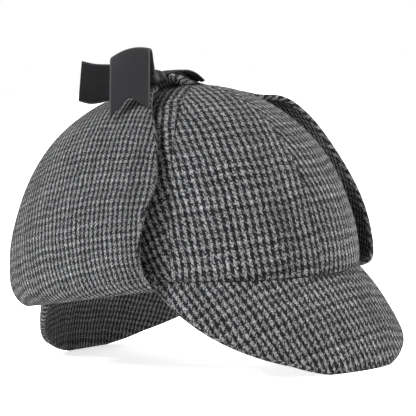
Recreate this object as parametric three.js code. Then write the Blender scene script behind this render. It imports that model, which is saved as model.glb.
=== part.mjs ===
// Deerstalker hat with its ear flaps tied up over the crown, standing on its two peaks.
// Millimetres, Z up. The hat faces -Y, and the wearer's right side is -X.

import * as THREE from 'three';

// Crown: a dome over the head, made of six gores
const CROWN_HALF_WIDTH = 86;
const CROWN_HALF_LENGTH = 103;
const CROWN_HEIGHT = 112;
const CROWN_SQUARENESS = 2.08;
const CROWN_WALL = 2.5;
const GORE_COUNT = 6;
const GORE_SEAM_DIP = 1.1;
const GORE_COLUMNS = 8;
const GORE_ROWS = 12;
const CROWN_TOP_HOLE = 1.6;

// How the hat stands: height of the crown's lower edge over the floor, and its slope to the front
const BASE_HEIGHT = 57;
const BASE_RISE_TO_BACK = 0.027;
// Place of the head's axis, so that the middle of the whole hat is over the origin
const HEAD_AXIS = { x: -1, y: 5.3 };

// Clear space between neighbouring pieces
const GAP = 0.3;

// Peaks: crescents sewn under the crown's edge, steeper toward their rims
const PEAK_WALL = 3.2;
const PEAK_OVERHANG = 1.2;
const PEAK_COLUMNS = 30;
const PEAK_ROWS = 8;
// slope: steepness in degrees at the sewn edge and at the rim. lean: how much steeper each is
// at one end of the crescent than in its middle. flare: how much flatter each is at both ends.
const FRONT_PEAK = {
  centre: 0,
  halfSpread: 65,
  length: 61.3,
  endLength: 5,
  taper: 2,
  slope: [47, 67],
  lean: [1, 1],
  flare: [0, 0],
};
const BACK_PEAK = {
  centre: 175.2,
  halfSpread: 61.5,
  length: 62.5,
  endLength: 7,
  taper: 2.3,
  slope: [52, 83.6],
  lean: [9.5, 15],
  flare: [11.5, 5],
};
const FLOOR_PRESS = 2.2;

// Ear flaps: each row is a section across the flap, from its sewn edge, round the fold at the
// bottom and up the crown's side to the tip. turn is the angle up the side (90 is the ridge),
// drop the depth under the crown's edge, front and rear the places of the two edges along Y,
// and off the clear height over the crown, all three given at the front and at the rear edge.
const FLAP_WALL = 3;
const FLAP_COLUMNS = 14;
const FLAP_ROWS = 20;
const RIGHT_FLAP = {
  side: -1,
  sections: [
    { turn: 2, dropFront: 0, dropRear: 0, front: -44, rear: 60, offFront: 1.9, offRear: 1.9 },
    { turn: 0, dropFront: 1.9, dropRear: 6.9, front: -46, rear: 61, offFront: 4.5, offRear: 6.6 },
    { turn: 0, dropFront: 2.3, dropRear: 19, front: -49.5, rear: 62, offFront: 9, offRear: 15.6 },
    { turn: 1, dropFront: 1.3, dropRear: 11.6, front: -46.9, rear: 62, offFront: 13.1, offRear: 24.6 },
    { turn: 7, dropFront: 0, dropRear: 1.3, front: -43, rear: 59.8, offFront: 14.8, offRear: 25.6 },
    { turn: 18, dropFront: 0, dropRear: 0, front: -42.6, rear: 57.1, offFront: 12.8, offRear: 23.4 },
    { turn: 32, dropFront: 0, dropRear: 0, front: -42.6, rear: 53.6, offFront: 7.8, offRear: 19.5 },
    { turn: 47, dropFront: 0, dropRear: 0, front: -30.9, rear: 46.3, offFront: 5.3, offRear: 14.4 },
    { turn: 60, dropFront: 0, dropRear: 0, front: -11.9, rear: 37.6, offFront: 3.7, offRear: 9.2 },
    { turn: 70, dropFront: 0, dropRear: 0, front: 2.4, rear: 29.4, offFront: 2.5, offRear: 4 },
    { turn: 76, dropFront: 0, dropRear: 0, front: 9, rear: 24, offFront: 2, offRear: 2 },
  ],
};
const LEFT_FLAP = {
  side: 1,
  sections: [
    { turn: 2, dropFront: 0, dropRear: 0, front: -44, rear: 60, offFront: 1.9, offRear: 1.9 },
    { turn: 0, dropFront: 2.9, dropRear: 4, front: -46, rear: 61, offFront: 6.2, offRear: 8.5 },
    { turn: 0, dropFront: 2.9, dropRear: 12, front: -47.3, rear: 62, offFront: 13.2, offRear: 18 },
    { turn: 1, dropFront: 1, dropRear: 7.5, front: -44.2, rear: 62, offFront: 18.8, offRear: 24 },
    { turn: 7, dropFront: 0, dropRear: 0, front: -40.6, rear: 60, offFront: 20.2, offRear: 25 },
    { turn: 18, dropFront: 0, dropRear: 0, front: -34.5, rear: 57, offFront: 18.8, offRear: 22 },
    { turn: 32, dropFront: 0, dropRear: 0, front: -25.4, rear: 53, offFront: 17.6, offRear: 17 },
    { turn: 51, dropFront: 0, dropRear: 0, front: -12.2, rear: 50, offFront: 14.9, offRear: 12.5 },
    { turn: 58, dropFront: 0, dropRear: 0, front: 2.8, rear: 46, offFront: 6.9, offRear: 6 },
    { turn: 69.5, dropFront: 0, dropRear: 0, front: 13.1, rear: 43, offFront: 2.8, offRear: 3.5 },
    { turn: 80, dropFront: 0, dropRear: 0, front: 15, rear: 40, offFront: 2.4, offRear: 2.6 },
    { turn: 86, dropFront: 0, dropRear: 0, front: 11, rear: 36, offFront: 4.2, offRear: 4 },
    { turn: 91, dropFront: 0, dropRear: 0, front: 7, rear: 33, offFront: 5.4, offRear: 5 },
    { turn: 95.5, dropFront: 0, dropRear: 0, front: 2, rear: 29, offFront: 6.1, offRear: 5.6 },
  ],
};

// Ribbon: sewn to the flap tips and tied in a bow over them
const RIBBON_WIDTH = 25;
const RIBBON_WALL = 1;
const KNOT_CENTRE = [-19.5, 16.5, 117];
const KNOT_RADII = [7.5, 6.5, 5];
const KNOT_SIDES = 14;
const KNOT_RINGS = 8;
// Each row: centre of the ribbon, share of the full width there, and direction of its width
const FRONT_TAIL = [
  { x: -27.6, y: 12.9, z: 119.5, width: 0.42, across: [0.74, -0.65, 0.1] },
  { x: -30.4, y: 15, z: 126, width: 0.65, across: [0.74, -0.65, 0.1] },
  { x: -34.5, y: 16.2, z: 131.2, width: 0.94, across: [0.73, -0.65, 0.16] },
  { x: -40.6, y: 12, z: 132.4, width: 1, across: [0.72, -0.65, 0.18] },
  { x: -46.5, y: 6, z: 125.5, width: 1, across: [0.72, -0.65, 0.19] },
  { x: -52.9, y: -0.2, z: 112.5, width: 1, across: [0.72, -0.65, 0.2] },
  { x: -59.1, y: -6.1, z: 97.5, width: 1, across: [0.72, -0.65, 0.2] },
];
const FRONT_TAIL_NOTCH = 9;
const BACK_TAIL = [
  { x: -23.5, y: 23, z: 118.3, width: 0.4, across: [0.05, 0, 1] },
  { x: -29.5, y: 30.5, z: 117.4, width: 0.65, across: [0.03, 0, 1] },
  { x: -37, y: 38.5, z: 114.9, width: 0.9, across: [0.05, -0.05, 1] },
  { x: -44.5, y: 44, z: 114.4, width: 1, across: [0.1, -0.1, 1] },
  { x: -52, y: 49, z: 115.8, width: 1, across: [0.16, -0.14, 0.98] },
];
const STRAP = [
  { x: -11.6, y: 18, z: 119.1, width: 0.42, across: [0, 1, 0.05] },
  { x: -5, y: 19, z: 119.7, width: 0.55, across: [0, 1, -0.02] },
  { x: 3, y: 20, z: 120.1, width: 0.7, across: [0, 1, -0.04] },
  { x: 11, y: 21, z: 119.6, width: 0.75, across: [0, 1, -0.06] },
  { x: 18.5, y: 21.5, z: 117.4, width: 0.75, across: [0, 1, -0.08] },
  { x: 25.5, y: 22, z: 112.9, width: 0.75, across: [0, 1, -0.1] },
];
const RIBBON_COLUMNS = 6;
const RIBBON_ROWS = 16;

// Colours seen on the cloth
const TWEED_COLOUR = 0x77787a;
const RIBBON_COLOUR = 0x333436;
const CLOTH_ROUGHNESS = 0.95;
const RIBBON_ROUGHNESS = 0.7;

const radians = THREE.MathUtils.degToRad;

/** A power that keeps the sign of its base. */
function signedPower(base, exponent) {
  return Math.sign(base) * Math.abs(base) ** exponent;
}

/** Moves a point from the head's own frame, with its zero at the crown's edge, to the floor's. */
function stand(point) {
  const level = BASE_HEIGHT + BASE_RISE_TO_BACK * point.y;
  return new THREE.Vector3(point.x + HEAD_AXIS.x, point.y + HEAD_AXIS.y, point.z + level);
}

/** Outward direction of the crown's dome at one of its points. */
function domeNormal(point) {
  const power = CROWN_SQUARENESS - 1;
  return new THREE.Vector3(
    signedPower(point.x / CROWN_HALF_WIDTH, power) / CROWN_HALF_WIDTH,
    signedPower(point.y / CROWN_HALF_LENGTH, power) / CROWN_HALF_LENGTH,
    signedPower(Math.max(point.z, 0) / CROWN_HEIGHT, power) / CROWN_HEIGHT,
  ).normalize();
}

/** Point of the dome at an angle round the head (0 is the front) and an angle up from its edge. */
function domePoint(round, up) {
  const power = 2 / CROWN_SQUARENESS;
  const reach = signedPower(Math.cos(up), power);
  return new THREE.Vector3(
    CROWN_HALF_WIDTH * reach * signedPower(Math.sin(round), power),
    -CROWN_HALF_LENGTH * reach * signedPower(Math.cos(round), power),
    CROWN_HEIGHT * signedPower(Math.sin(up), power),
  );
}

/** Point of the dome at a place along Y and an angle up the side of the head. */
function sidePoint(side, along, turn) {
  const power = 2 / CROWN_SQUARENESS;
  const share = Math.abs(along / CROWN_HALF_LENGTH) ** CROWN_SQUARENESS;
  const scale = (1 - share) ** (1 / CROWN_SQUARENESS);
  return new THREE.Vector3(
    side * CROWN_HALF_WIDTH * scale * signedPower(Math.cos(turn), power),
    along,
    CROWN_HEIGHT * scale * signedPower(Math.sin(turn), power),
  );
}

/** One column of a table, read smoothly between its rows. share runs from 0 to 1. */
function readTable(rows, column, share) {
  const place = share * (rows.length - 1);
  const row = Math.min(Math.floor(place), rows.length - 2);
  const t = place - row;
  const value = (index) => rows[Math.min(Math.max(index, 0), rows.length - 1)][column];
  const [a, b, c, d] = [value(row - 1), value(row), value(row + 1), value(row + 2)];
  const bend = 2 * a - 5 * b + 4 * c - d + (3 * (b - c) + d - a) * t;
  return b + 0.5 * t * (c - a + t * bend);
}

/**
 * Closed solid between an outer and an inner grid of points.
 * Both grids are lists of rows, and every row has the same number of points.
 */
function solidBetween(outer, inner) {
  const rows = outer.length;
  const columns = outer[0].length;
  const points = [...outer.flat(), ...inner.flat()];
  const outerIndex = (row, column) => row * columns + column;
  const innerIndex = (row, column) => rows * columns + row * columns + column;
  const faces = [];
  const quad = (a, b, c, d) => faces.push(a, b, c, a, c, d);
  for (let row = 0; row < rows - 1; row += 1) {
    for (let column = 0; column < columns - 1; column += 1) {
      quad(
        outerIndex(row, column),
        outerIndex(row, column + 1),
        outerIndex(row + 1, column + 1),
        outerIndex(row + 1, column),
      );
      quad(
        innerIndex(row, column),
        innerIndex(row + 1, column),
        innerIndex(row + 1, column + 1),
        innerIndex(row, column + 1),
      );
    }
  }
  for (let column = 0; column < columns - 1; column += 1) {
    const last = rows - 1;
    quad(
      outerIndex(0, column + 1),
      outerIndex(0, column),
      innerIndex(0, column),
      innerIndex(0, column + 1),
    );
    quad(
      outerIndex(last, column),
      outerIndex(last, column + 1),
      innerIndex(last, column + 1),
      innerIndex(last, column),
    );
  }
  for (let row = 0; row < rows - 1; row += 1) {
    const last = columns - 1;
    quad(
      outerIndex(row, 0),
      outerIndex(row + 1, 0),
      innerIndex(row + 1, 0),
      innerIndex(row, 0),
    );
    quad(
      outerIndex(row + 1, last),
      outerIndex(row, last),
      innerIndex(row, last),
      innerIndex(row + 1, last),
    );
  }
  return facedOutward(points, faces);
}

/** Geometry from points and triangles, turned over if its faces look inward. */
function facedOutward(points, faces) {
  let volume = 0;
  for (let index = 0; index < faces.length; index += 3) {
    const [a, b, c] = [0, 1, 2].map((corner) => points[faces[index + corner]]);
    volume += a.dot(b.clone().cross(c)) / 6;
  }
  const turned = volume < 0 ? faces.slice().reverse() : faces;
  const geometry = new THREE.BufferGeometry();
  geometry.setFromPoints(points);
  geometry.setIndex(turned);
  geometry.computeVertexNormals();
  return geometry;
}

/** Grid of points, from a function of two shares that each run from 0 to 1. */
function gridOf(rows, columns, place) {
  return Array.from({ length: rows + 1 }, (_, row) =>
    Array.from({ length: columns + 1 }, (__, column) => place(row / rows, column / columns)),
  );
}

/** Direction square to a grid at one of its points. */
function gridNormal(grid, row, column) {
  const at = (r, c) => {
    const safeRow = Math.min(Math.max(r, 0), grid.length - 1);
    const safeColumn = Math.min(Math.max(c, 0), grid[0].length - 1);
    return grid[safeRow][safeColumn];
  };
  const down = at(row + 1, column).clone().sub(at(row - 1, column));
  const across = at(row, column + 1).clone().sub(at(row, column - 1));
  return across.cross(down).normalize();
}

/** Cloth of an even thickness, half of it on each side of a grid of points. */
function clothOn(grid, wall) {
  const offset = (distance) =>
    grid.map((line, row) =>
      line.map((point, column) =>
        point.clone().addScaledVector(gridNormal(grid, row, column), distance),
      ),
    );
  return [offset(wall / 2), offset(-wall / 2)];
}

/** Names a solid and gives it its material. */
function piece(name, geometry, colour, roughness) {
  const material = new THREE.MeshStandardMaterial({ color: colour, roughness, metalness: 0 });
  const mesh = new THREE.Mesh(geometry, material);
  mesh.name = name;
  return mesh;
}

/** One gore of the crown: a sixth of the dome, drawn in a little along both seams. */
function crownGore(number) {
  const spread = 360 / GORE_COUNT;
  const start = spread * (number - 1);
  const upLimit = Math.acos((CROWN_TOP_HOLE / CROWN_HALF_WIDTH) ** (CROWN_SQUARENESS / 2));
  const surface = (depth) =>
    gridOf(GORE_ROWS, GORE_COLUMNS, (upShare, roundShare) => {
      const up = upLimit * upShare ** 0.92;
      const lean = (roundShare - 0.5) * 2;
      const round = radians(start + spread * roundShare);
      const onDome = domePoint(round, up);
      const normal = domeNormal(onDome);
      const sideways = new THREE.Vector3(Math.cos(round), Math.sin(round), 0);
      const pull = -Math.sign(lean) * Math.abs(lean) ** 8 * (GAP / 2);
      const dip = GORE_SEAM_DIP * lean ** 4 * Math.sin(Math.min(2.2 * up + 0.25, Math.PI / 2));
      return stand(onDome.addScaledVector(normal, -dip - depth).addScaledVector(sideways, pull));
    });
  const geometry = solidBetween(surface(0), surface(CROWN_WALL));
  return piece(`crown_gore_${number}`, geometry, TWEED_COLOUR, CLOTH_ROUGHNESS);
}

/** A peak: a crescent that falls away from the crown's edge, pressed flat where it stands. */
function peak(name, shape) {
  const grid = gridOf(PEAK_ROWS, PEAK_COLUMNS, (fall, roundShare) => {
    const lean = 2 * roundShare - 1;
    const crescent = 1 - Math.abs(lean) ** shape.taper;
    const length = shape.endLength + (shape.length - shape.endLength) * crescent;
    const round = radians(shape.centre + shape.halfSpread * lean);
    const root = domePoint(round, 0);
    const outward = domeNormal(root);
    const [rootSlope, rimSlope] = shape.slope.map((degrees, end) =>
      radians(degrees + shape.lean[end] * lean - shape.flare[end] * lean ** 2),
    );
    const bend = rimSlope - rootSlope;
    const rootDepth = GAP + (PEAK_WALL / 2) * Math.cos(rootSlope);
    const slope = rootSlope + bend * fall;
    const out = (length * (Math.sin(slope) - Math.sin(rootSlope))) / bend;
    const down = (length * (Math.cos(rootSlope) - Math.cos(slope))) / bend;
    const inset = PEAK_OVERHANG + (PEAK_WALL / 2) * Math.sin(rootSlope);
    root.addScaledVector(outward, out - inset);
    return stand(root.setZ(-rootDepth - down));
  });
  const sides = clothOn(grid, PEAK_WALL);
  for (const side of sides) {
    for (const point of side[PEAK_ROWS]) {
      const pressed = 1.5 * (point.z - FLOOR_PRESS);
      point.z = Math.max(0, Math.min(point.z, pressed));
    }
  }
  return piece(name, solidBetween(...sides), TWEED_COLOUR, CLOTH_ROUGHNESS);
}

/** An ear flap: sewn on at the crown's edge, folded up and drawn to the top of the crown. */
function earFlap(name, flap) {
  const grid = gridOf(FLAP_ROWS, FLAP_COLUMNS, (upShare, acrossShare) => {
    const read = (column) => readTable(flap.sections, column, upShare);
    const mix = (front, rear) => THREE.MathUtils.lerp(read(front), read(rear), acrossShare);
    const point = sidePoint(flap.side, mix('front', 'rear'), radians(read('turn')));
    point.addScaledVector(domeNormal(point), mix('offFront', 'offRear'));
    point.z -= mix('dropFront', 'dropRear');
    return stand(point);
  });
  const geometry = solidBetween(...clothOn(grid, FLAP_WALL));
  return piece(name, geometry, TWEED_COLOUR, CLOTH_ROUGHNESS);
}

/** A length of ribbon along a table of centres, with its far end cut to a notch if asked. */
function ribbon(name, rows, notch = 0) {
  const grid = gridOf(RIBBON_ROWS, RIBBON_COLUMNS, (alongShare, acrossShare) => {
    const read = (column) => readTable(rows, column, alongShare);
    const vectors = rows.map((row) => ({ x: row.across[0], y: row.across[1], z: row.across[2] }));
    const across = new THREE.Vector3(
      readTable(vectors, 'x', alongShare),
      readTable(vectors, 'y', alongShare),
      readTable(vectors, 'z', alongShare),
    ).normalize();
    const centre = new THREE.Vector3(read('x'), read('y'), read('z'));
    const half = (RIBBON_WIDTH * read('width')) / 2;
    const lean = 2 * acrossShare - 1;
    const cut = notch * (1 - Math.abs(lean)) * alongShare ** 6;
    return stand(centre.addScaledVector(across, half * lean).setZ(centre.z + cut));
  });
  const geometry = solidBetween(...clothOn(grid, RIBBON_WALL));
  return piece(name, geometry, RIBBON_COLOUR, RIBBON_ROUGHNESS);
}

/** The knot of the bow: a small flattened ball of folded ribbon. */
function bowKnot() {
  const centre = new THREE.Vector3(...KNOT_CENTRE);
  const points = [];
  for (let ring = 1; ring < KNOT_RINGS; ring += 1) {
    const polar = (Math.PI * ring) / KNOT_RINGS;
    for (let side = 0; side < KNOT_SIDES; side += 1) {
      const round = (2 * Math.PI * side) / KNOT_SIDES;
      const direction = new THREE.Vector3(
        KNOT_RADII[0] * signedPower(Math.sin(polar), 0.7) * Math.cos(round),
        KNOT_RADII[1] * signedPower(Math.sin(polar), 0.7) * Math.sin(round),
        KNOT_RADII[2] * signedPower(Math.cos(polar), 0.7),
      );
      points.push(stand(centre.clone().add(direction)));
    }
  }
  const top = points.push(stand(centre.clone().setZ(centre.z + KNOT_RADII[2]))) - 1;
  const bottom = points.push(stand(centre.clone().setZ(centre.z - KNOT_RADII[2]))) - 1;
  const faces = [];
  for (let side = 0; side < KNOT_SIDES; side += 1) {
    const next = (side + 1) % KNOT_SIDES;
    for (let ring = 0; ring < KNOT_RINGS - 2; ring += 1) {
      const here = ring * KNOT_SIDES;
      const below = here + KNOT_SIDES;
      faces.push(here + side, below + side, below + next);
      faces.push(here + side, below + next, here + next);
    }
    const lastRing = (KNOT_RINGS - 2) * KNOT_SIDES;
    faces.push(top, side, next);
    faces.push(bottom, lastRing + next, lastRing + side);
  }
  return piece('bow_knot', facedOutward(points, faces), RIBBON_COLOUR, RIBBON_ROUGHNESS);
}

const hat = new THREE.Group();
hat.name = 'deerstalker_hat';
for (let number = 1; number <= GORE_COUNT; number += 1) {
  hat.add(crownGore(number));
}
hat.add(peak('front_peak', FRONT_PEAK));
hat.add(peak('back_peak', BACK_PEAK));
hat.add(earFlap('ear_flap_right', RIGHT_FLAP));
hat.add(earFlap('ear_flap_left', LEFT_FLAP));
hat.add(bowKnot());
hat.add(ribbon('bow_front_tail', FRONT_TAIL, FRONT_TAIL_NOTCH));
hat.add(ribbon('bow_back_tail', BACK_TAIL));
hat.add(ribbon('ribbon_strap', STRAP));

export default hat;
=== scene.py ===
"""Deerstalker hat in houndstooth tweed, its ear flaps tied up over the crown with a ribbon.

It stands on its two peaks. Sizes are millimetres in the head's own frame: +Z up from the
crown's edge, the front peak towards -Y, the wearer's right side towards -X. Finishes, the flat
sizes of cut cloth and the studio are in metres.
"""

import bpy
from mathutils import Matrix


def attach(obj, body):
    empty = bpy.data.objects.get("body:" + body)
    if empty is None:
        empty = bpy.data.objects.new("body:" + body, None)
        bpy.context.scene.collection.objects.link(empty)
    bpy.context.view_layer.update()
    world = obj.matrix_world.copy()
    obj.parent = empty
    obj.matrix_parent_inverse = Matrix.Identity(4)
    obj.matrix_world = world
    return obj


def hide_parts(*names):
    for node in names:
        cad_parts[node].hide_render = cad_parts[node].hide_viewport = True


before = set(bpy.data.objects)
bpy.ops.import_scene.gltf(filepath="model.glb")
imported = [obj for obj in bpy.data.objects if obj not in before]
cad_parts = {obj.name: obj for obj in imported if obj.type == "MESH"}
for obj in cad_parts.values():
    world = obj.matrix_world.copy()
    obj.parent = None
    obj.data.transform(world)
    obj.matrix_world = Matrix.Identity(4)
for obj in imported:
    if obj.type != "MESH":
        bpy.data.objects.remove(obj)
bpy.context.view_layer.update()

import logging
import math
from dataclasses import dataclass, replace
from enum import Enum

import bpy
import numpy as np
from mathutils import Matrix, Vector

log = logging.getLogger("deerstalker")

MM = 0.001
BODY = "root"
UV_NAME = "cloth"
RIBBON_WIDTH = 25.0
Array = np.ndarray
Material = bpy.types.Material
Object = bpy.types.Object
Socket = bpy.types.NodeSocket
Input = float | tuple | Socket


class Side(Enum):
    """Side of the wearer's head, by its sign along X."""

    RIGHT = -1
    LEFT = 1


class Slot(Enum):
    """Material slot of the record that a piece takes its finish from."""

    TWEED = "tweed"
    RIBBON = "ribbon"


class Held(Enum):
    """How a piece of cloth is held in its place."""

    STRETCHED = "stretched"
    FOLDED = "folded"
    HUNG = "hung"


def signed_power(base: Array, exponent: float) -> Array:
    """A power that keeps the sign of its base."""
    return np.sign(base) * np.abs(base) ** exponent


def smooth_step(value: Array, low: float, high: float) -> Array:
    """0 under low, 1 over high and a smooth rise between them."""
    share = np.clip((value - low) / (high - low), 0.0, 1.0)
    return share * share * (3 - 2 * share)


def unit(vectors: Array) -> Array:
    """Vectors of length one, along the last axis."""
    length = np.linalg.norm(vectors, axis=-1, keepdims=True)
    return vectors / np.maximum(length, 1e-9)


def read_table(rows: list, shares: Array) -> Array:
    """Reads a table smoothly between its rows.

    Args:
        rows: the table, one tuple of numbers a row.
        shares: places along the table, from 0 to 1.

    Returns:
        One row of columns for each share.
    """
    table = np.array(rows, dtype=float)
    place = np.clip(shares, 0, 1) * (len(table) - 1)
    row = np.minimum(np.floor(place).astype(int), len(table) - 2)
    t = (place - row)[..., None]
    a, b, c, d = (table[np.clip(row + step, 0, len(table) - 1)] for step in (-1, 0, 1, 2))
    bend = 2 * a - 5 * b + 4 * c - d + (3 * (b - c) + d - a) * t
    return b + 0.5 * t * (c - a + t * bend)


@dataclass(frozen=True)
class Ripple:
    """Soft unevenness of cloth: crossing waves, shortest to longest times the wavelength long."""

    wavelength: float
    height: float
    seed: int
    waves: int = 9
    shortest: float = 0.7
    longest: float = 1.6

    def at(self, points: Array) -> Array:
        """Height of the ripple.

        Args:
            points: places in the head's frame.

        Returns:
            One height for each, mostly between -height and height.
        """
        draw = np.random.default_rng(self.seed)
        total = np.zeros(points.shape[:-1])
        for _ in range(self.waves):
            direction = unit(draw.normal(size=3))
            length = self.wavelength * draw.uniform(self.shortest, self.longest)
            phase = draw.uniform(0, 2 * math.pi)
            total += np.sin(points @ direction * (2 * math.pi / length) + phase)
        return self.height * total / math.sqrt(self.waves * 2)


@dataclass(frozen=True)
class HeadForm:
    """The domed form that every piece of the hat lies on.

    squareness is 2 for an ellipsoid and more for a fuller form. The base lies base_height over
    the floor at the form's axis, and rises by base_rise towards the back.
    """

    half_width: float = 86.0
    half_length: float = 103.0
    height: float = 112.0
    squareness: float = 2.08
    base_height: float = 57.0
    base_rise: float = 0.027
    axis_x: float = -1.0
    axis_y: float = 5.3

    @property
    def sizes(self) -> Array:
        """The three half sizes."""
        return np.array([self.half_width, self.half_length, self.height])

    def stand(self, points: Array) -> Array:
        """Moves points from the head's own frame to the floor's."""
        rise = points[..., 1:2] * np.array([0, 0, self.base_rise])
        return points + np.array([self.axis_x, self.axis_y, self.base_height]) + rise

    def normal(self, points: Array) -> Array:
        """Direction out of the dome at points on it, level under the crown's edge."""
        shares = np.maximum(points, (-np.inf, -np.inf, 0)) / self.sizes
        return unit(signed_power(shares, self.squareness - 1) / self.sizes)

    def point(self, turn: Array, up: Array) -> Array:
        """Point of the dome.

        Args:
            turn: angle round the head from the front toward +X, in radians.
            up: angle up from the crown's edge, in radians.

        Returns:
            One point for each turn and height.
        """
        power = 2 / self.squareness
        reach = signed_power(np.cos(up), power)
        return np.stack([
            self.half_width * reach * signed_power(np.sin(turn), power),
            -self.half_length * reach * signed_power(np.cos(turn), power),
            self.height * signed_power(np.sin(up), power),
        ], axis=-1)

    def height_at(self, across: Array, along: Array) -> Array:
        """Height of the dome over places along X and Y."""
        shares = np.abs([across / self.half_width, along / self.half_length]) ** self.squareness
        return self.height * (1 - shares.sum(axis=0)) ** (1 / self.squareness)

    def side_point(self, side: Side, along: Array, turn: Array) -> Array:
        """Point on one side of the dome.

        Args:
            side: the wearer's side.
            along: place along Y.
            turn: angle up that side from the crown's edge, in radians.

        Returns:
            One point for each place and angle.
        """
        power = 2 / self.squareness
        share = np.abs(along / self.half_length) ** self.squareness
        scale = (1 - share) ** (1 / self.squareness)
        return np.stack([
            side.value * self.half_width * scale * signed_power(np.cos(turn), power),
            along,
            self.height * scale * signed_power(np.sin(turn), power),
        ], axis=-1)


def grid_normals(grid: Array) -> Array:
    """Direction square to a grid of points, columns crossed with rows."""
    down, across = np.gradient(grid, axis=0), np.gradient(grid, axis=1)
    return unit(np.cross(across, down))


def arc_lengths(grid: Array, axis: int) -> Array:
    """Length along a grid of points, from its first row or column.

    Args:
        grid: the points.
        axis: 0 for lengths down the columns, 1 for lengths along the rows.

    Returns:
        One length for each point.
    """
    steps = np.linalg.norm(np.diff(grid, axis=axis), axis=-1)
    padding = [(0, 0), (0, 0)]
    padding[axis] = (1, 0)
    return np.cumsum(np.pad(steps, padding), axis=axis)


def cloth_places(grid: Array, tilt: float) -> Array:
    """Places on the flat cloth, with the grain along the middle column.

    Args:
        grid: points of the piece's middle layer.
        tilt: angle of the grain from the middle column, in degrees.

    Returns:
        One flat place for each point, in millimetres.
    """
    middle = grid.shape[1] // 2
    across, along = arc_lengths(grid, 1), arc_lengths(grid, 0)[:, middle, None]
    return turned_places(across - across[:, middle, None], along + 0 * across, tilt)


def turned_places(across: Array, along: Array, tilt: float) -> Array:
    """Flat places turned by an angle in degrees."""
    sine, cosine = math.sin(math.radians(tilt)), math.cos(math.radians(tilt))
    return np.stack([across * cosine - along * sine, across * sine + along * cosine], axis=-1)


@dataclass
class ClothShell:
    """Closed cloth with a turned, rounded edge all round, made from its middle layer.

    places are the grid's places on the flat cloth, and wall_share is how many walls thick the
    cloth is at each. The rounded edge stands out by edge_reach, and by more where the cloth is
    over doubled_share walls thick. The seam allowance, bead_width wide, makes each side fuller
    by edge_bead.
    """

    name: str
    grid: Array
    places: Array
    wall: float
    edge_reach: float
    edge_steps: int = 6
    edge_bead: float = 0.0
    bead_width: float = 6.0
    bead_flat: float = 0.75
    wall_share: Array | None = None
    doubled_share: float = 1.2
    doubled_ease: float = 0.1

    def edge_loop(self) -> tuple:
        """Goes once round the grid's edge.

        Returns:
            The rows and the columns of its points.
        """
        last_row, last_column = (count - 1 for count in self.grid.shape[:2])
        down, over = np.arange(last_row), np.arange(last_column)
        return (np.concatenate([0 * over, down, 0 * over + last_row, last_row - down]),
                np.concatenate([over, 0 * down + last_column, last_column - over, 0 * down]))

    def outward(self, values: Array) -> Array:
        """Direction out of the piece along its edge.

        Args:
            values: the grid's points or flat places.

        Returns:
            One direction for each point of the edge loop.
        """
        r, c = self.edge_loop()
        inner_r, inner_c = (np.clip(index, 1, count - 2)
                            for index, count in zip((r, c), values.shape))
        down = unit(values[r, c] - values[inner_r, c])
        return unit(down + unit(values[r, c] - values[r, inner_c]))

    def half_walls(self) -> Array:
        """Half of the cloth's thickness, fuller over the turned-in seam allowance.

        Returns:
            One half thickness for each point.
        """
        half = np.full(self.grid.shape[:2], self.wall / 2)
        if self.wall_share is not None:
            half *= self.wall_share
        if self.edge_bead:
            from_start, from_top = arc_lengths(self.grid, 1), arc_lengths(self.grid, 0)
            nearest = np.minimum.reduce([
                from_start, from_start[:, -1:] - from_start,
                from_top, from_top[-1:, :] - from_top,
            ])
            half += self.edge_bead * (1 - smooth_step(
                nearest, self.bead_width * self.bead_flat, self.bead_width))
        return half

    def rounded_edge(self, normals: Array, half: Array) -> tuple:
        """Carries the cloth round its edge, from the outer to the inner face.

        Args:
            normals: direction square to the cloth at each point.
            half: half of its thickness there.

        Returns:
            The rows of points between the faces, and the flat places of these rows and of the
            inner face's edge.
        """
        loop = self.edge_loop()
        normals, half = normals[loop], half[loop]
        outward = self.outward(self.grid)
        outward = unit(outward - normals * np.sum(outward * normals, -1, keepdims=True))
        fullness = half / (self.wall / 2)
        outward *= np.where(fullness > self.doubled_share, fullness - self.doubled_ease,
                            np.minimum(1, fullness))
        place_outward = self.outward(self.places)
        bow = 0.5 * math.pi * (self.wall / 2 + self.edge_reach) / 2
        points, places = [], []
        for step in range(1, self.edge_steps):
            angle = math.pi * step / self.edge_steps
            points.append(self.grid[loop] + normals * half * math.cos(angle)
                          + outward * self.edge_reach * math.sin(angle))
            places.append(self.places[loop] + place_outward * bow * 2 * step / self.edge_steps)
        places.append(self.places[loop] + place_outward * bow * 2)
        return points, places

    def build(self) -> Object:
        """Makes the piece, with its flat places as a UV map in metres.

        Returns:
            The object, at the origin.
        """
        loop = self.edge_loop()
        normals = grid_normals(self.grid)
        half = self.half_walls()[..., None]
        edge_points, edge_places = self.rounded_edge(normals, half)
        outer = np.arange(self.grid[..., 0].size).reshape(self.grid.shape[:2])
        inner = outer + outer.size
        between = 2 * outer.size + np.arange(len(edge_points) * len(loop[0]))
        ring = np.vstack([outer[loop], between.reshape(len(edge_points), -1), inner[loop]])
        ring_places = np.stack([self.places[loop], *edge_places])
        points = [(self.grid + normals * half).reshape(-1, 3),
                  (self.grid - normals * half).reshape(-1, 3), *edge_points]
        faces = [face_cells(outer, inner), edge_cells(ring)]
        places = [face_cells(self.places, self.places), edge_cells(ring_places)]
        return mesh_object(self.name, np.concatenate(points), np.concatenate(faces),
                           np.concatenate(places))


def face_cells(outer: Array, inner: Array) -> Array:
    """Cells of the two faces of a piece of cloth.

    Args:
        outer: a value for each row and column of the outer face.
        inner: the same for the inner face.

    Returns:
        The values at each cell's four corners, an outer and an inner cell in turn.
    """
    top = np.stack([outer[:-1, :-1], outer[:-1, 1:], outer[1:, 1:], outer[1:, :-1]], axis=2)
    under = np.stack([inner[:-1, :-1], inner[1:, :-1], inner[1:, 1:], inner[:-1, 1:]], axis=2)
    return np.stack([top, under], axis=2).reshape(-1, 4, *outer.shape[2:])


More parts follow.
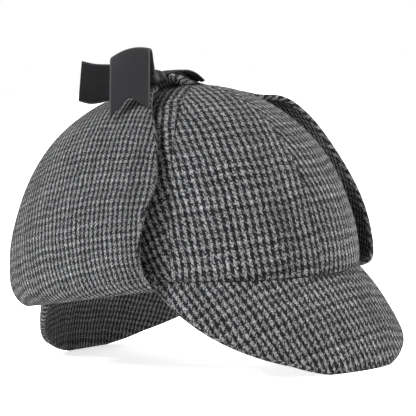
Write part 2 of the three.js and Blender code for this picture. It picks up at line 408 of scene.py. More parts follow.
def edge_cells(ring: Array) -> Array:
    """Cells of the rounded edge of a piece of cloth.

    Args:
        ring: values of the rows round the edge, from the outer to the inner face.

    Returns:
        The values at each cell's four corners.
    """
    after = np.roll(ring, -1, axis=1)
    cells = np.stack([after[:-1], ring[:-1], ring[1:], after[1:]], axis=2)
    return np.swapaxes(cells, 0, 1).reshape(-1, 4, *ring.shape[2:])


def mesh_object(name: str, points: Array, faces: Array, places: Array) -> Object:
    """Makes a smooth mesh object from millimetres, with its faces turned outward.

    Args:
        name: the piece's name.
        points: its corners over the floor.
        faces: corner numbers of each face.
        places: flat places of each face's corners.

    Returns:
        The object, at the origin.
    """
    first, second, third = (points[faces[:, corner]] for corner in range(3))
    if np.sum(first * np.cross(second, third)) < 0:
        faces, places = faces[:, ::-1], places[:, ::-1]
    mesh = bpy.data.meshes.new(name)
    mesh.from_pydata((points * MM).tolist(), [], faces.tolist())
    layer = mesh.uv_layers.new(name=UV_NAME)
    layer.data.foreach_set("uv", (places * MM).ravel())
    mesh.polygons.foreach_set("use_smooth", [True] * len(mesh.polygons))
    mesh.update()
    made = bpy.data.objects.new(name, mesh)
    bpy.context.scene.collection.objects.link(made)
    return made


class NodeTable:
    """Short way to add and join the nodes of one material."""

    def __init__(self, name: str, on_cloth: bool = True) -> None:
        """Starts a material with its output, its shader and a place that its patterns follow.

        Args:
            name: the material's name.
            on_cloth: whether the place is on the piece's own flat cloth, and not in its object.
        """
        self.material = bpy.data.materials.new(name)
        self.material.use_nodes = True
        self.tree = self.material.node_tree
        self.shader = self.tree.nodes["Principled BSDF"]
        source = (self.add("ShaderNodeUVMap", uv_map=UV_NAME) if on_cloth
                  else self.add("ShaderNodeTexCoord"))
        self.place = source.outputs["UV" if on_cloth else "Object"]

    def add(self, kind: str, inputs: dict | None = None, **settings) -> bpy.types.Node:
        """Adds a node.

        Args:
            kind: its type.
            inputs: value or socket for each input.
            settings: its own properties.

        Returns:
            The node.
        """
        made = self.tree.nodes.new(kind)
        for key, value in settings.items():
            setattr(made, key, value)
        self.put(made, inputs or {})
        return made

    def put(self, target: bpy.types.Node, inputs: dict) -> None:
        """Sets a node's inputs, or joins them to sockets.

        Args:
            target: the node.
            inputs: value or socket for each input, by name or number.
        """
        for key, value in inputs.items():
            if isinstance(value, Socket):
                self.tree.links.new(value, target.inputs[key])
            else:
                target.inputs[key].default_value = value

    def math(self, operation: str, *values: Input) -> Socket:
        """Result of a Math node."""
        made = self.add("ShaderNodeMath", dict(enumerate(values)), operation=operation)
        return made.outputs[0]

    def noise(self, scale: float, detail: float, out: str = "Fac") -> Socket:
        """Noise over the place, as its value or as a colour of three unlike channels."""
        inputs = {"Vector": self.place, "Scale": scale, "Detail": detail}
        return self.add("ShaderNodeTexNoise", inputs).outputs[out]

    def spread(self, value: Input, low: float, high: float, out_low: float = 0.0,
               out_high: float = 1.0) -> Socket:
        """A value mapped from one range to another, and held within it."""
        made = self.add("ShaderNodeMapRange", {
            "Value": value, "From Min": low, "From Max": high,
            "To Min": out_low, "To Max": out_high})
        return made.outputs["Result"]

    def blend(self, share: Input, first: Input, second: Input) -> Socket:
        """Number between two numbers."""
        made = self.add("ShaderNodeMix", {0: share, 2: first, 3: second}, data_type="FLOAT")
        return made.outputs[0]

    def mix(self, share: Input, first: Input, second: Input, way: str = "MIX") -> Socket:
        """Colour mixed from two colours."""
        made = self.add("ShaderNodeMix", {0: share, 6: first, 7: second}, data_type="RGBA",
                        blend_type=way)
        return made.outputs[2]

    def across_along(self) -> list:
        """The place's coordinates across and along the cloth, in metres."""
        return self.add("ShaderNodeSeparateXYZ", {"Vector": self.place}).outputs[:2]

    def bump(self, height: Socket, relief: float, strength: float) -> Socket:
        """Surface direction over a relief, which is the height in metres of a value of one."""
        made = self.add("ShaderNodeBump", {"Strength": strength, "Distance": relief,
                                           "Height": height})
        return made.outputs["Normal"]


# Most of a noise's values lie in this range
NOISE_RANGE = (0.3, 0.7)


@dataclass(frozen=True)
class HoundstoothTweed:
    """Wool tweed woven of four dark and four light threads in turn.

    A light or a dark warp thread lies on top for its own share of every four weft threads.
    wander, fuzz and drift are noises that move the threads: scale, detail, and reach in threads.
    fibres, heather, patches and grain are noises too: scale and detail. An effect grows over its
    range of a noise, and tones are the factors that the colour gets at the two ends.
    """

    name: str = "houndstooth_tweed"
    warp_thread: float = 0.52 * MM
    weft_thread: float = 0.72 * MM
    first_thread: float = 4000.0
    band: float = 4.0
    light_warp_on_top: float = 2.25
    dark_warp_on_top: float = 3.3
    overcheck_repeat: float = 48.0
    overcheck_line: float = 5.0
    overcheck_tone: float = -0.14
    wander: tuple = (700.0, 2.0, 2.48)
    fuzz: tuple = (2100.0, 1.0, 2.4)
    drift: tuple = (60.0, 1.0, 6.0)
    light: tuple = (0.335, 0.335, 0.331, 1)
    light_shade: tuple = (0.055, 0.055, 0.056, 1)
    dark: tuple = (0.0015, 0.0015, 0.0022, 1)
    dark_fleck: tuple = (0.026, 0.026, 0.029, 1)
    dark_cover: float = 0.985
    stray_cover: float = 0.5
    fibres: tuple = (2600.0, 3.0)
    fleck_range: tuple = (0.4, 0.72)
    stray_range: tuple = (0.5, 0.68)
    heather: tuple = (750.0, 4.0)
    heather_range: tuple = (0.34, 0.64)
    patches: tuple = (55.0, 2.0)
    patch_tones: tuple = (0.86, 1.06)
    grain: tuple = (1900.0, 2.0)
    grain_tones: tuple = (0.55, 1.4)
    dye_tones: tuple = (0.82, 1.13)
    roughness: float = 0.95
    specular: float = 0.03
    sheen: float = 0.02
    sheen_roughness: float = 0.3
    fibre_height: float = 0.9
    relief: float = 0.3 * MM
    bump_strength: float = 1.0

    def threads(self, n: NodeTable) -> list:
        """Counts the uneven threads, from a first one far off the cloth.

        Args:
            n: the material's nodes.

        Returns:
            The warp and the weft count at the place.
        """
        moves = []
        for scale, detail, reach in (self.wander, self.fuzz, self.drift):
            colour = n.noise(scale, detail, "Color")
            channels = n.add("ShaderNodeSeparateColor", {"Color": colour}).outputs
            moves.append([n.math("MULTIPLY", n.math("SUBTRACT", channels[i], 0.5), reach)
                          for i in range(2)])
        counts = []
        for place, thread, (wander, fuzz, drift) in zip(
                n.across_along(), (self.warp_thread, self.weft_thread), zip(*moves)):
            count = n.math("ADD", n.math("DIVIDE", place, thread), self.first_thread)
            counts.append(n.math("ADD", n.math("ADD", count, fuzz),
                                 n.math("ADD", wander, drift)))
        return counts

    def is_first(self, n: NodeTable, number: Socket, count: float, repeat: float) -> Socket:
        """1 on the first few threads of each repeat, and 0 on the others."""
        return n.math("LESS_THAN", n.math("MODULO", number, repeat), count - 0.5)

    def warp_on_top(self, n: NodeTable, warp_number: Socket, weft: Socket,
                    warp_dark: Socket) -> Socket:
        """1 where the warp lies on top, in a diagonal that steps on by one thread."""
        crossing = n.math("MODULO", n.math("ADD", warp_number, weft), self.band)
        return n.math("LESS_THAN", crossing, n.spread(
            warp_dark, 0, 1, self.light_warp_on_top, self.dark_warp_on_top))

    def colour(self, n: NodeTable, fibres: Socket, is_dark: Socket, tone: Socket) -> Socket:
        """Colour of flecked yarn, with stray dark fibres where it is light.

        Args:
            n: the material's nodes.
            fibres: noise as fine as fibres.
            is_dark: 1 on dark yarn.
            tone: the grey that the colour is multiplied by.

        Returns:
            The colour.
        """
        heather = n.spread(n.noise(*self.heather), *self.heather_range)
        light = n.mix(heather, self.light, self.light_shade)
        dark = n.mix(n.spread(fibres, *self.fleck_range), self.dark, self.dark_fleck)
        stray = n.math("MULTIPLY", n.spread(fibres, *self.stray_range), self.stray_cover)
        cover = n.math("ADD", n.math("MULTIPLY", is_dark, self.dark_cover),
                       n.math("MULTIPLY", stray, n.math("SUBTRACT", 1.0, is_dark)))
        grey = n.add("ShaderNodeCombineColor", {0: tone, 1: tone, 2: tone}).outputs[0]
        return n.mix(1.0, n.mix(cover, light, dark), grey, "MULTIPLY")

    def tone(self, n: NodeTable, numbers: list, is_line: Socket) -> Socket:
        """Unequal tone: worn patches, the overcheck, grain and each band's own dye.

        Args:
            n: the material's nodes.
            numbers: the warp and the weft thread's number.
            is_line: 1 on a line of the overcheck.

        Returns:
            The tone.
        """
        patches = n.spread(n.noise(*self.patches), *NOISE_RANGE, *self.patch_tones)
        grain = n.spread(n.noise(*self.grain), *NOISE_RANGE, *self.grain_tones)
        tone = n.math("ADD", patches, n.math("MULTIPLY", is_line, self.overcheck_tone))
        tone = n.math("MULTIPLY", tone, grain)
        for number in numbers:
            band = n.math("FLOOR", n.math("DIVIDE", number, self.band))
            dye = n.add("ShaderNodeTexWhiteNoise", {"W": band}, noise_dimensions="1D")
            dye = n.spread(dye.outputs["Value"], 0, 1, *self.dye_tones)
            tone = n.math("MULTIPLY", tone, dye)
        return tone

    def thread_height(self, n: NodeTable, count: Socket) -> Socket:
        """Height of a thread, round across its width."""
        place = n.math("SUBTRACT", n.math("FRACT", count), 0.5)
        return n.math("SUBTRACT", 1.0, n.math("MULTIPLY", n.math("MULTIPLY", place, place), 4.0))

    def material(self) -> Material:
        """Makes the tweed.

        Returns:
            The material.
        """
        n = NodeTable(self.name)
        counts = self.threads(n)
        numbers = [n.math("FLOOR", count) for count in counts]
        dark = [self.is_first(n, number, self.band, 2 * self.band) for number in numbers]
        line = [self.is_first(n, number, self.overcheck_line, self.overcheck_repeat)
                for number in numbers]
        on_top = self.warp_on_top(n, numbers[0], counts[1], dark[0])
        fibres = n.noise(*self.fibres)
        tone = self.tone(n, numbers, n.blend(on_top, line[1], line[0]))
        heights = [self.thread_height(n, count) for count in counts]
        height = n.math("ADD", n.blend(on_top, heights[1], heights[0]),
                        n.math("MULTIPLY", fibres, self.fibre_height))
        n.put(n.shader, {
            "Base Color": self.colour(n, fibres, n.blend(on_top, dark[1], dark[0]), tone),
            "Roughness": self.roughness,
            "Specular IOR Level": self.specular,
            "Sheen Weight": self.sheen,
            "Sheen Roughness": self.sheen_roughness,
            "Normal": n.bump(height, self.relief, self.bump_strength),
        })
        return n.material


@dataclass(frozen=True)
class GrosgrainRibbon:
    """Matt charcoal ribbon with fine ribs across it, painted shade in the grooves between them,
    and a firm, paler selvedge.
    """

    name: str = "charcoal_grosgrain"
    rib: float = 0.62 * MM
    colour: tuple = (0.0095, 0.0095, 0.0102, 1)
    # painted shade: the darker colour of the grooves between the ribs
    painted_groove_shade: tuple = (0.0045, 0.0045, 0.005, 1)
    half_width: float = RIBBON_WIDTH / 2 * MM
    selvedge: float = 0.9 * MM
    selvedge_full: float = 0.7
    selvedge_cover: float = 0.35
    selvedge_colour: tuple = (0.05, 0.05, 0.053, 1)
    lint: tuple = (1500.0, 3.0)
    lint_tones: tuple = (0.75, 1.0)
    lint_height: float = 0.4
    roughness: float = 0.62
    specular: float = 0.1
    sheen: float = 0.03
    relief: float = 0.12 * MM
    bump_strength: float = 0.5

    def material(self) -> Material:
        """Makes the ribbon.

        Returns:
            The material.
        """
        n = NodeTable(self.name)
        across, along = n.across_along()
        turn = n.math("MULTIPLY", along, 2 * math.pi / self.rib)
        rib = n.spread(n.math("SINE", turn), -1.0, 1.0)
        from_edge = n.math("SUBTRACT", self.half_width, n.math("ABSOLUTE", across))
        edge = n.spread(from_edge, self.selvedge * self.selvedge_full, self.selvedge, 1.0, 0.0)
        lint = n.noise(*self.lint)
        tone = n.math("MULTIPLY", rib, n.spread(lint, *NOISE_RANGE, *self.lint_tones))
        # Painted shade in the grooves between the ribs, with the lint's random tone on top
        colour = n.mix(tone, self.painted_groove_shade, self.colour)
        cover = n.math("MULTIPLY", edge, self.selvedge_cover)
        height = n.math("ADD", rib, n.math("MULTIPLY", lint, self.lint_height))
        n.put(n.shader, {
            "Base Color": n.mix(cover, colour, self.selvedge_colour),
            "Roughness": self.roughness,
            "Specular IOR Level": self.specular,
            "Sheen Weight": self.sheen,
            "Normal": n.bump(height, self.relief, self.bump_strength),
        })
        return n.material


@dataclass(frozen=True)
class PaleFloor:
    """Smooth white studio floor with a soft reflection."""

    name: str = "pale_floor"
    colour: tuple = (1.0, 1.0, 1.0, 1)
    roughness: tuple = (0.3, 0.36)
    patches: tuple = (3.0, 2.0)
    specular: float = 0.25
    glow: float = 0.68

    def material(self) -> Material:
        """Makes the floor's finish.

        Returns:
            The material.
        """
        n = NodeTable(self.name, on_cloth=False)
        n.put(n.shader, {
            "Base Color": self.colour,
            "Roughness": n.spread(n.noise(*self.patches), *NOISE_RANGE, *self.roughness),
            "Specular IOR Level": self.specular,
            "Emission Color": self.colour,
            "Emission Strength": self.glow,
        })
        return n.material


@dataclass
class Part:
    """A part of the hat, which lies on the head's form and has one finish."""

    form: HeadForm
    finish: Material

    def dress(self, made: Object, slot: Slot, node: str) -> None:
        """Gives a piece its material and its body, and hides the solid that it stands for.

        Args:
            made: the piece.
            slot: not used; its material's slot in the record.
            node: the solid that it replaces.
        """
        made.data.materials.append(self.finish)
        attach(made, BODY)
        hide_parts(node)
        log.info("%s: %d faces", made.name, len(made.data.polygons))


@dataclass
class Crown(Part):
    """Six gores sewn edge to edge over the head.

    A gore is pulled to its seams, dips and puckers there, each by a power of the place across
    it, sags softly between them, and is tucked under at its hem. grain_tilts are in degrees
    from the gores' middle lines.
    """

    gores: int = 6
    grain_tilts: tuple = (0, 0, 0, 0, -30, -6)
    cut: tuple = (0.104, 0.152)
    wall: float = 2.5
    seam_gap: float = -0.05
    seam_reach: float = 0.75
    pull_power: int = 8
    pull_fade: float = 20.0
    least_pull: float = 0.3
    dip: float = 0.5
    dip_power: int = 4
    dip_rise: float = 2.2
    dip_at_edge: float = 0.25
    pucker: float = 0.08
    pucker_power: int = 6
    pucker_length: float = 2.1
    sag: Ripple = Ripple(46, 0.5, 20)
    sag_from: float = 0.4
    hem_start: float = 0.0068
    hem_tuck: float = 0.9
    hem_rise: float = 0.05
    top_gap: float = 0.9
    rows: int = 72
    columns: int = 40
    row_crowding: float = 0.92
    column_crowding: float = 1.25

    def gore_grid(self, number: int) -> Array:
        """Middle layer of one gore, drawn in along both seams.

        Args:
            number: the gore's number, from 1.

        Returns:
            Rows of points from the crown's edge to its top.
        """
        form = self.form
        top = math.acos((self.top_gap / form.half_width) ** (form.squareness / 2))
        rise = np.linspace(0, 1, self.rows)[:, None] ** self.row_crowding
        span = np.linspace(-1, 1, self.columns)[None, :]
        span = np.sign(span) * (1 - (1 - np.abs(span)) ** self.column_crowding)
        up = self.hem_start + (top - self.hem_start) * rise + 0 * span
        turn = 2 * math.pi / self.gores * (number - 0.5 + span / 2) + 0 * rise
        points = form.point(turn, up)
        normals = form.normal(points)
        sideways = np.stack([np.cos(turn), np.sin(turn), 0 * turn], axis=-1)
        pull = -np.sign(span) * np.abs(span) ** self.pull_power
        pull = pull * (self.seam_gap + self.seam_reach)
        pull = pull * np.clip(np.cos(up) * self.pull_fade, self.least_pull, 1)
        pucker = self.pucker * np.sin(up * form.height / self.pucker_length + number)
        pucker = pucker * np.abs(span) ** self.pucker_power
        risen = np.sin(np.minimum(self.dip_rise * up + self.dip_at_edge, math.pi / 2))
        dip = self.dip * span ** self.dip_power * risen
        hem = self.hem_tuck * (1 - smooth_step(up, 0.0, self.hem_rise))
        ripple = replace(self.sag, seed=self.sag.seed + number).at(points)
        sag = np.minimum(ripple - self.sag_from, 0) * np.cos(span * math.pi / 2)
        depth = self.wall / 2 + dip + pucker + hem - sag
        return form.stand(points - normals * depth[..., None] + sideways * pull[..., None])

    def build(self) -> None:
        """Makes and dresses the gores."""
        for number, tilt in enumerate(self.grain_tilts, 1):
            grid = self.gore_grid(number)
            places = cloth_places(grid, tilt)
            made = ClothShell(f"gore_{number}", grid, places, self.wall, self.seam_reach).build()
            self.dress(made, Slot.TWEED, f"crown_gore_{number}")


# The sewn edge turned up inside the crown, from its end down to the seam. Each row: share of
# the peak's wall, depth inside the dome, height over the crown's edge
ALLOWANCE = [
    (0.4, 5.4, 5.2),
    (0.4, 5.3, 2.8),
    (0.42, 5.2, 0.4),
    (0.6, 4.0, -1.1),
]


@dataclass
class Peak(Part):
    """A stiffened crescent of two cloth layers that falls away from the crown's edge.

    centre and half_spread are its place round the head, in degrees from the front. slope is the
    steepness in degrees at the sewn edge and at the rim, lean how much steeper each is at one
    end, and flare how much flatter at both. The weave follows a share of the head's turn, fan.
    """

    name: str
    node: str
    centre: float
    half_spread: float
    length: float
    end_length: float
    taper: float
    slope: tuple
    lean: tuple
    flare: tuple
    cloth_tilt: float
    fan: float
    cloth_scale: float = 1.0
    cut_width: float = 0.225
    cut_allowance: float = 0.035
    wall: float = 3.2
    overhang: float = 1.2
    gap: float = 0.35
    rim_reach: float = 1.3
    rim_bead: float = 0.12
    bead_width: float = 7.0
    floor_press: float = 2.2
    press_reach: float = 3.0
    rows: int = 44
    columns: int = 150

    def grid(self) -> tuple:
        """Middle layer of the peak.

        Returns:
            Rows of points from the turned-up edge to the rim, each one's place on the flat
            cloth and its share of the wall.
        """
        form = self.form
        span = np.linspace(-1, 1, self.columns)[None, :]
        fall = np.linspace(0, 1, self.rows)[:, None]
        crescent = 1 - np.abs(span) ** self.taper
        length = self.end_length + (self.length - self.end_length) * crescent - self.rim_reach
        turn = np.radians(self.centre + self.half_spread * span)
        root = form.point(turn, 0 * turn)
        outward = form.normal(root)
        start, end = (np.radians(slope + lean * span - flare * span ** 2)
                      for slope, lean, flare in zip(self.slope, self.lean, self.flare))
        slope = start + (end - start) * fall
        out = length * (np.sin(slope) - np.sin(start)) / (end - start)
        down = length * (np.cos(start) - np.cos(slope)) / (end - start)
        inset = self.overhang + (self.wall / 2) * np.sin(start)
        points = root + outward * (out - inset)[..., None]
        points[..., 2] = -(self.gap + (self.wall / 2) * np.cos(start)) - down
        shares, depths, heights = np.array(ALLOWANCE).T[..., None]
        turned_up = root - outward * depths[..., None]
        turned_up[..., 2] = heights
        whole = np.concatenate([turned_up, points])
        steps = np.linalg.norm(np.diff(whole[:len(shares) + 1], axis=0), axis=-1)
        above = -np.cumsum(steps[::-1], axis=0)[::-1]
        places = self.flat_places(root[0], outward[0], np.concatenate([above, length * fall]))
        share = np.ones(whole.shape[:2])
        share[:len(shares)] = shares
        return form.stand(whole), places, share

    def flat_places(self, root: Array, outward: Array, fall: Array) -> Array:
        """Places on the flat crescent, laid out from its middle.

        Args:
            root: points of the sewn edge.
            outward: level direction out of the head at each.
            fall: distances down the peak from each.

        Returns:
            One flat place for each distance.
        """
        middle = self.columns // 2
        heading = np.unwrap(np.arctan2(outward[:, 1], outward[:, 0]))
        heading = (heading - heading[middle]) * self.fan
        steps = np.linalg.norm(np.diff(root, axis=0), axis=-1)
        between = (heading[1:] + heading[:-1]) / 2
        x = np.concatenate([[0], np.cumsum(steps * np.cos(between))])
        y = np.concatenate([[0], np.cumsum(steps * np.sin(between))])
        across = (x - x[middle])[None, :] + fall * np.sin(heading)[None, :]
        along = -(y - y[middle])[None, :] + fall * np.cos(heading)[None, :]
        return turned_places(across, along, self.cloth_tilt) * self.cloth_scale

    def press(self, made: Object) -> None:
        """Flattens the rim where it stands on the floor, and draws down what is near it.

        Args:
            made: the peak.
        """
        points = np.empty(len(made.data.vertices) * 3)
        made.data.vertices.foreach_get("co", points)
        points = points.reshape(-1, 3)
        low, reach = self.floor_press * MM, self.press_reach
        drawn = np.maximum(reach / (reach - 1) * (points[:, 2] - low), 0.0)
        points[:, 2] = np.where(points[:, 2] < reach * low, drawn, points[:, 2])
        made.data.vertices.foreach_set("co", points.ravel())
        made.data.update()

    def build(self) -> None:
        """Makes and dresses the peak."""
        grid, places, share = self.grid()
        made = ClothShell(self.name, grid, places, self.wall, self.rim_reach,
                          edge_bead=self.rim_bead, bead_width=self.bead_width,
                          wall_share=share).build()
        self.press(made)
        self.dress(made, Slot.TWEED, self.node)


# From the sewn edge, round the fold and up to the tip. Each row: turn up the head's side in
# degrees, drop under that place at the flap's front and rear, place along Y of its front and
# rear edge, clear height over the dome at its front and rear
RIGHT_FLAP = [
    (2, 0, 0, -44, 60, 1.9, 1.9),
    (0, 1.9, 6.9, -46, 61, 4.5, 6.6),
    (0, 2.3, 19, -49.5, 62, 9, 15.6),
    (1, 1.3, 11.6, -46.9, 62, 13.1, 24.6),
    (7, 0, 1.3, -43, 59.8, 14.8, 25.6),
    (18, 0, 0, -42.6, 57.1, 12.8, 23.4),
    (32, 0, 0, -42.6, 53.6, 7.8, 19.5),
    (47, 0, 0, -30.9, 46.3, 5.3, 14.4),
    (60, 0, 0, -11.9, 37.6, 3.7, 9.2),
    (70, 0, 0, 2.4, 29.4, 2.5, 4),
    (76, 0, 0, 9, 24, 2, 2),
]
LEFT_FLAP = [
    (2, 0, 0, -44, 60, 1.9, 1.9),
    (0, 2.9, 4, -46, 61, 6.2, 8.5),
    (0, 2.9, 12, -47.3, 62, 13.2, 18),
    (1, 1, 7.5, -44.2, 62, 18.8, 24),
    (7, 0, 0, -40.6, 60, 20.2, 25),
    (18, 0, 0, -35.5, 57, 19.8, 22),
    (32, 0, 0, -26.5, 53, 18.8, 17),
    (51, 0, 0, -14.5, 50, 17, 12.5),
    (58, 0, 0, 1, 46, 9.4, 6),
    (69.5, 0, 0, 12.5, 43, 3.4, 3.5),
    (80, 0, 0, 15, 40, 2.4, 2.6),
    (86, 0, 0, 11, 36, 4.2, 4),
    (91, 0, 0, 7, 33, 5.4, 5),
    (95.5, 0, 0, 2, 29, 6.1, 5.6),
]


@dataclass
class EarFlap(Part):
    """A flap sewn on at the crown's edge, folded up and drawn to the top of the crown.

    From a turn of roll_from the tip is rolled up: its front corner is turned down, and the cloth
    behind is doubled. waves move the cloth where it stands free of the crown.
    """

    side: Side
    rests_on: str
    sections: list
    cloth_tilt: float
    waves: Ripple
    roll_from: float = 180.0
    corner_turn: float = 6.0
    corner_width: float = 0.22
    corner_height: float = 1.9
    doubled_start: float = 5.0
    doubled_full: float = 12.0
    doubled_lowering: float = 1.5
    free_start: float = 5.0
    free_full: float = 14.0
    cloth_scale: float = 1.28
    cut: tuple = (0.118, 0.2)
    wall: float = 3.0
    edge_reach: float = 1.3
    edge_bead: float = 0.16
    bead_width: float = 6.0
    rows: int = 150
    columns: int = 96

    def grid(self) -> tuple:
        """Middle layer of the flap.

        Returns:
            Rows of points from the sewn edge to the tip, and each one's share of the wall.
        """
        span = np.linspace(0, 1, self.columns)[None, :]
        read = read_table(self.sections, np.linspace(0, 1, self.rows))
        turn, drop, drop_rear, front, rear, off, off_rear = np.hsplit(read, read.shape[1])
        front, rear = front + self.edge_reach, rear - self.edge_reach
        along = front + (rear - front) * span
        off = off + (off_rear - off) * span
        points = self.form.side_point(self.side, along, np.radians(turn) + 0 * along)
        corner = smooth_step(turn, self.roll_from, self.roll_from + self.corner_turn)
        corner = corner * (1 - smooth_step(span, 0, self.corner_width)) ** 2
        doubled = smooth_step(turn, self.roll_from + self.doubled_start,
                              self.roll_from + self.doubled_full) + 0 * span
        off = off + (self.corner_height - off) * corner
        off = off - self.doubled_lowering * doubled * (1 - corner)
        free = smooth_step(off, self.free_start, self.free_full)
        off = off + free * self.waves.at(points)
        points = points + self.form.normal(points) * off[..., None]
        points[..., 2] -= drop + (drop_rear - drop) * span
        return self.form.stand(points), 1 + doubled * (1 - corner)

    def build(self) -> None:
        """Makes and dresses the flap."""
        side = self.side.name.lower()
        grid, share = self.grid()
        places = cloth_places(grid, self.cloth_tilt) * self.cloth_scale
        made = ClothShell(f"tied_up_flap_{side}", grid, places, self.wall, self.edge_reach,
                          edge_bead=self.edge_bead, bead_width=self.bead_width,
                          wall_share=share).build()
        self.dress(made, Slot.TWEED, f"ear_flap_{side}")


# Each row: place of the ribbon's middle (X, Y, Z), share of its full half width, direction
# across it (X, Y, Z), height of its arch
FRONT_TAIL = [
    (-27.6, 12.9, 119.5, 0.42, 0.74, -0.65, 0.1, 0),
    (-30.4, 15, 126, 0.65, 0.74, -0.65, 0.1, 0.5),
    (-34.5, 16.2, 131.2, 0.94, 0.73, -0.65, 0.16, 2.2),
    (-40.6, 12, 132, 1, 0.72, -0.65, 0.2, 2.8),
    (-46.5, 6, 125.3, 1, 0.72, -0.65, 0.2, 1.4),
    (-52.9, -0.2, 112.5, 1, 0.72, -0.65, 0.2, 0.4),
    (-59.1, -6.1, 97.5, 1, 0.72, -0.65, 0.2, 0),
]
BACK_TAIL = [
    (-23.5, 23, 118.3, 0.4, 0.05, 0, 1, 0),
    (-29.5, 30.5, 117.4, 0.65, 0.03, 0, 1, 0),
    (-37, 38.5, 114.9, 0.9, 0.05, -0.05, 1, 0),
    (-44.5, 44, 114.4, 1, 0.1, -0.1, 1, 0),
    (-51, 48.3, 116.4, 1, 0.1, -0.09, 0.99, 0),
]
STRAP = [
    (-11.6, 18, 119.1, 0.42, 0, 1, 0.05, 0),
    (-6.5, 18.5, 119.9, 0.55, 0, 1, -0.02, 0),
    (-1, 19, 120.3, 0.66, 0, 1, -0.04, 0),
    (5.5, 19.5, 119.9, 0.7, 0, 1, -0.06, 0),
    (12.5, 20, 117.4, 0.7, 0, 1, -0.08, 0),
    (18.8, 20.5, 113, 0.7, 0, 1, -0.1, 0),
]


@dataclass
class Knot(Part):
    """Ribbon wound tightly round itself over the flap tips, with its pleats drawn in.

    It comes no nearer to the dome than rest, and the ribbon's turns cross the pleats.
    """

    centre: tuple = (-21.2, 16.0, 116.2)
    radii: tuple = (9.4, 7.0, 6.0)
    rest: float = 4.5
    squareness: float = 0.85
    segments: int = 72
    rings: int = 48
    pleats: float = 3.2
    pleat_bend: float = 0.9
    pleat_start: float = 0.5
    turns: float = 2.4
    turn_slant: float = 1.3
    least_share: float = 0.86
    pleat_share: float = 0.13
    turn_share: float = 0.06
    cloth_along: float = 7 * MM
    cloth_round: float = 6 * MM

    def build(self) -> None:
        """Makes and dresses the knot."""
        bpy.ops.object.select_all(action="DESELECT")
        bpy.ops.mesh.primitive_uv_sphere_add(segments=self.segments, ring_count=self.rings,
                                             radius=1.0)
        made = bpy.context.object
        made.name = "knot"
        mesh = made.data
        points = np.empty(len(mesh.vertices) * 3)
        mesh.vertices.foreach_get("co", points)
        points = points.reshape(-1, 3)
        wound = np.arctan2(points[:, 1], points[:, 2])
        along = np.arcsin(np.clip(points[:, 0], -1, 1))
        fold = np.abs(np.sin(self.pleats * along + self.pleat_bend * np.sin(wound)
                             + self.pleat_start))
        cross = np.abs(np.sin(self.turns * wound + self.turn_slant * along))
        swell = self.least_share + self.pleat_share * fold + self.turn_share * cross
        shaped = signed_power(points, self.squareness) * swell[:, None] * np.array(self.radii)
        shaped += np.array(self.centre)
        dome = self.form.height_at(shaped[:, 0], shaped[:, 1])
        shaped[:, 2] = np.maximum(shaped[:, 2], dome + self.rest)
        mesh.vertices.foreach_set("co", (self.form.stand(shaped) * MM).ravel())
        corners = np.empty(len(mesh.loops), dtype=int)
        mesh.loops.foreach_get("vertex_index", corners)
        flat = np.stack([self.cloth_along * along, self.cloth_round * wound], axis=-1)
        mesh.uv_layers[0].name = UV_NAME
        mesh.uv_layers[0].data.foreach_set("uv", flat[corners].ravel())
        mesh.polygons.foreach_set("use_smooth", [True] * len(mesh.polygons))
        mesh.update()
        self.dress(made, Slot.RIBBON, "bow_knot")


@dataclass
class Ribbon(Part):
    """A length of ribbon from the knot, pleated where the table's widths gather it.

    flat, which is not used, is its cut width and length in metres, and notch the depth of its
    swallow tail.
    """

    name: str
    node: str
    table: list
    flat: tuple
    held: Held
    notch: float = 0.0
    notch_power: int = 6
    pleats: float = 2.6
    pleat_height: float = 1.4
    width: float = RIBBON_WIDTH
    wall: float = 0.9
    edge_reach: float = 0.3
    edge_steps: int = 4
    rows: int = 90
    columns: int = 36

    def grid(self) -> Array:
        """Middle layer of the ribbon.

        Returns:
            Rows of points from the knot to the far end.
        """
        share = np.linspace(0, 1, self.rows)
        read = read_table(self.table, share)
        centre, width, across, arch = read[:, :3], read[:, 3], unit(read[:, 4:7]), read[:, 7]
        span = np.linspace(-1, 1, self.columns)
        points = (centre[:, None] + across[:, None] * (width[:, None] * span)[..., None]
                  * (self.width / 2 - self.edge_reach))
        along = unit(np.gradient(centre, axis=0))
        square = unit(np.cross(across, along))
        gather = np.clip(1 - width, 0, 1)[:, None] * np.cos(span * self.pleats * math.pi)
        points = points + square[:, None] * (gather * self.pleat_height)[..., None]
        cut = self.notch * (1 - np.abs(span)) * (share ** self.notch_power)[:, None]
        points = points - along[:, None] * cut[..., None]
        points[..., 2] += arch[:, None] * (1 - span ** 2)
        return self.form.stand(points)

    def build(self) -> None:
        """Makes and dresses the ribbon."""
        grid = self.grid()
        along = arc_lengths(grid, 0)
        across = np.linspace(-1, 1, self.columns) * self.width / 2 + 0 * along
        made = ClothShell(self.name, grid, np.stack([across, along], axis=-1), self.wall,
                          self.edge_reach, edge_steps=self.edge_steps).build()
        self.dress(made, Slot.RIBBON, self.node)


@dataclass
class Bow(Part):
    """Ribbons from both flap tips, tied in a half bow with two hanging ends."""

    front_notch: float = 11.0

    def build(self) -> None:
        """Makes the knot and the ribbons that leave it."""
        Knot(self.form, self.finish).build()
        Ribbon(self.form, self.finish, "front_tail", "bow_front_tail", FRONT_TAIL,
               (0.025, 0.07), Held.HUNG, self.front_notch).build()
        Ribbon(self.form, self.finish, "back_tail", "bow_back_tail", BACK_TAIL,
               (0.025, 0.045), Held.HUNG).build()
        Ribbon(self.form, self.finish, "strap", "ribbon_strap", STRAP,
               (0.025, 0.036), Held.FOLDED).build()


@dataclass(frozen=True)
class Softbox:
    """A square soft light that faces the hat, with its power in watts."""

    name: str
    place: tuple
    power: float
    colour: tuple = (1, 1, 1)
    size: float = 0.7
    aim: tuple = (0, 0, 0.09)

    def build(self) -> None:
        """Adds the light."""
        bpy.ops.object.light_add(type="AREA", location=self.place)
        made = bpy.context.object
        made.name = self.name
        made.data.size = self.size
        made.data.energy = self.power
        made.data.color = self.colour
        facing = Vector(self.aim) - Vector(self.place)
        made.rotation_euler = facing.to_track_quat("-Z", "Y").to_euler()


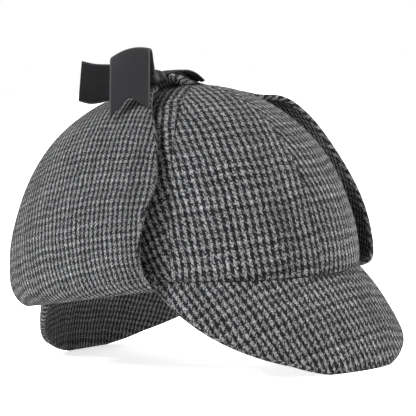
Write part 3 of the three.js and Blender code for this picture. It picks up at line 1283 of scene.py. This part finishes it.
@dataclass
class Studio:
    """Floor, soft light and the camera at the photograph's angle.

    azimuth is turned from the front towards the wearer's left, and aim_pixel is the aim's place
    in a picture of image_size. Angles are in degrees and the sensor is in millimetres.
    """

    floor_finish: Material
    floor_size: float = 60.0
    surround: float = 1.0
    softboxes: tuple = (
        Softbox("left_softbox", (-1.5, 0.35, 1.5), 88, (0.95, 0.97, 1)),
        Softbox("right_softbox", (1.55, -0.4, 0.8), 56),
    )
    azimuth: float = -42.0
    elevation: float = 4.6
    roll: float = 3.0
    distance: float = 1.45
    aim: tuple = (HeadForm.axis_x * MM, HeadForm.axis_y * MM, HeadForm.base_height * MM)
    aim_pixel: tuple = (204.5, 266.0)
    image_size: float = 416.0
    pixels_per_radian: float = 2349.0
    sensor: float = 36.0
    clip: tuple = (0.05, 200)

    def floor(self) -> None:
        """Adds the floor."""
        bpy.ops.object.select_all(action="DESELECT")
        bpy.ops.mesh.primitive_plane_add(size=self.floor_size, location=(0, 0, 0))
        made = bpy.context.object
        made.name = "floor"
        made.data.materials.append(self.floor_finish)

    def world(self) -> None:
        """Sets an even white surround."""
        world = bpy.data.worlds.new("surround")
        world.use_nodes = True
        background = world.node_tree.nodes["Background"]
        background.inputs["Color"].default_value = (1, 1, 1, 1)
        background.inputs["Strength"].default_value = self.surround
        bpy.context.scene.world = world

    def camera(self) -> None:
        """Sets the camera so that the aim falls on its place in the picture."""
        a, e, q = (math.radians(angle) for angle in (self.azimuth, self.elevation, self.roll))
        back = Vector((math.sin(a) * math.cos(e), -math.cos(a) * math.cos(e), math.sin(e)))
        right = Vector((math.cos(a), math.sin(a), 0))
        up = back.cross(right)
        right, up = (right * math.cos(q) - up * math.sin(q),
                     up * math.cos(q) + right * math.sin(q))
        turn = Matrix((right, up, back)).transposed()
        half = self.image_size / 2
        pan = -math.atan((half - self.aim_pixel[0]) / self.pixels_per_radian)
        tilt = math.atan((self.aim_pixel[1] - half) / self.pixels_per_radian)
        turn = turn @ Matrix.Rotation(tilt, 3, "X") @ Matrix.Rotation(pan, 3, "Y")
        bpy.ops.object.camera_add()
        made = bpy.context.object
        made.data.sensor_width = self.sensor
        made.data.lens = self.pixels_per_radian / self.image_size * self.sensor
        made.data.clip_start, made.data.clip_end = self.clip
        place = Vector(self.aim) + back * self.distance
        made.matrix_world = Matrix.Translation(place) @ turn.to_4x4()
        bpy.context.scene.camera = made

    def build(self) -> None:
        """Sets the stage."""
        self.camera()
        self.floor()
        self.world()
        for softbox in self.softboxes:
            softbox.build()
        bpy.context.scene.view_settings.view_transform = "Standard"


def main() -> None:
    """Builds the studio and every piece of the hat."""
    logging.basicConfig(level=logging.INFO, format="%(name)s: %(message)s")
    form = HeadForm()
    tweed = HoundstoothTweed().material()
    ribbon = GrosgrainRibbon().material()
    Studio(PaleFloor().material()).build()
    Crown(form, tweed).build()
    Peak(form, tweed, "peak_front", "front_peak", centre=0, half_spread=65, length=61.3,
         end_length=5, taper=2, slope=(47, 67), lean=(1, 1), flare=(0, 0),
         cloth_tilt=6, fan=0.55).build()
    Peak(form, tweed, "peak_back", "back_peak", centre=175.2, half_spread=61.5, length=62.5,
         end_length=7, taper=2.3, slope=(52, 83.6), lean=(9.5, 15), flare=(11.5, 5),
         cloth_tilt=8, fan=0.4, cloth_scale=1.5).build()
    EarFlap(form, tweed, Side.RIGHT, "crown_gore_5", RIGHT_FLAP, cloth_tilt=12,
            waves=Ripple(58, 0.9, 5)).build()
    EarFlap(form, tweed, Side.LEFT, "crown_gore_2", LEFT_FLAP, cloth_tilt=-12,
            waves=Ripple(58, 0.9, 8), roll_from=81).build()
    Bow(form, ribbon).build()


if __name__ == "__main__":
    main()
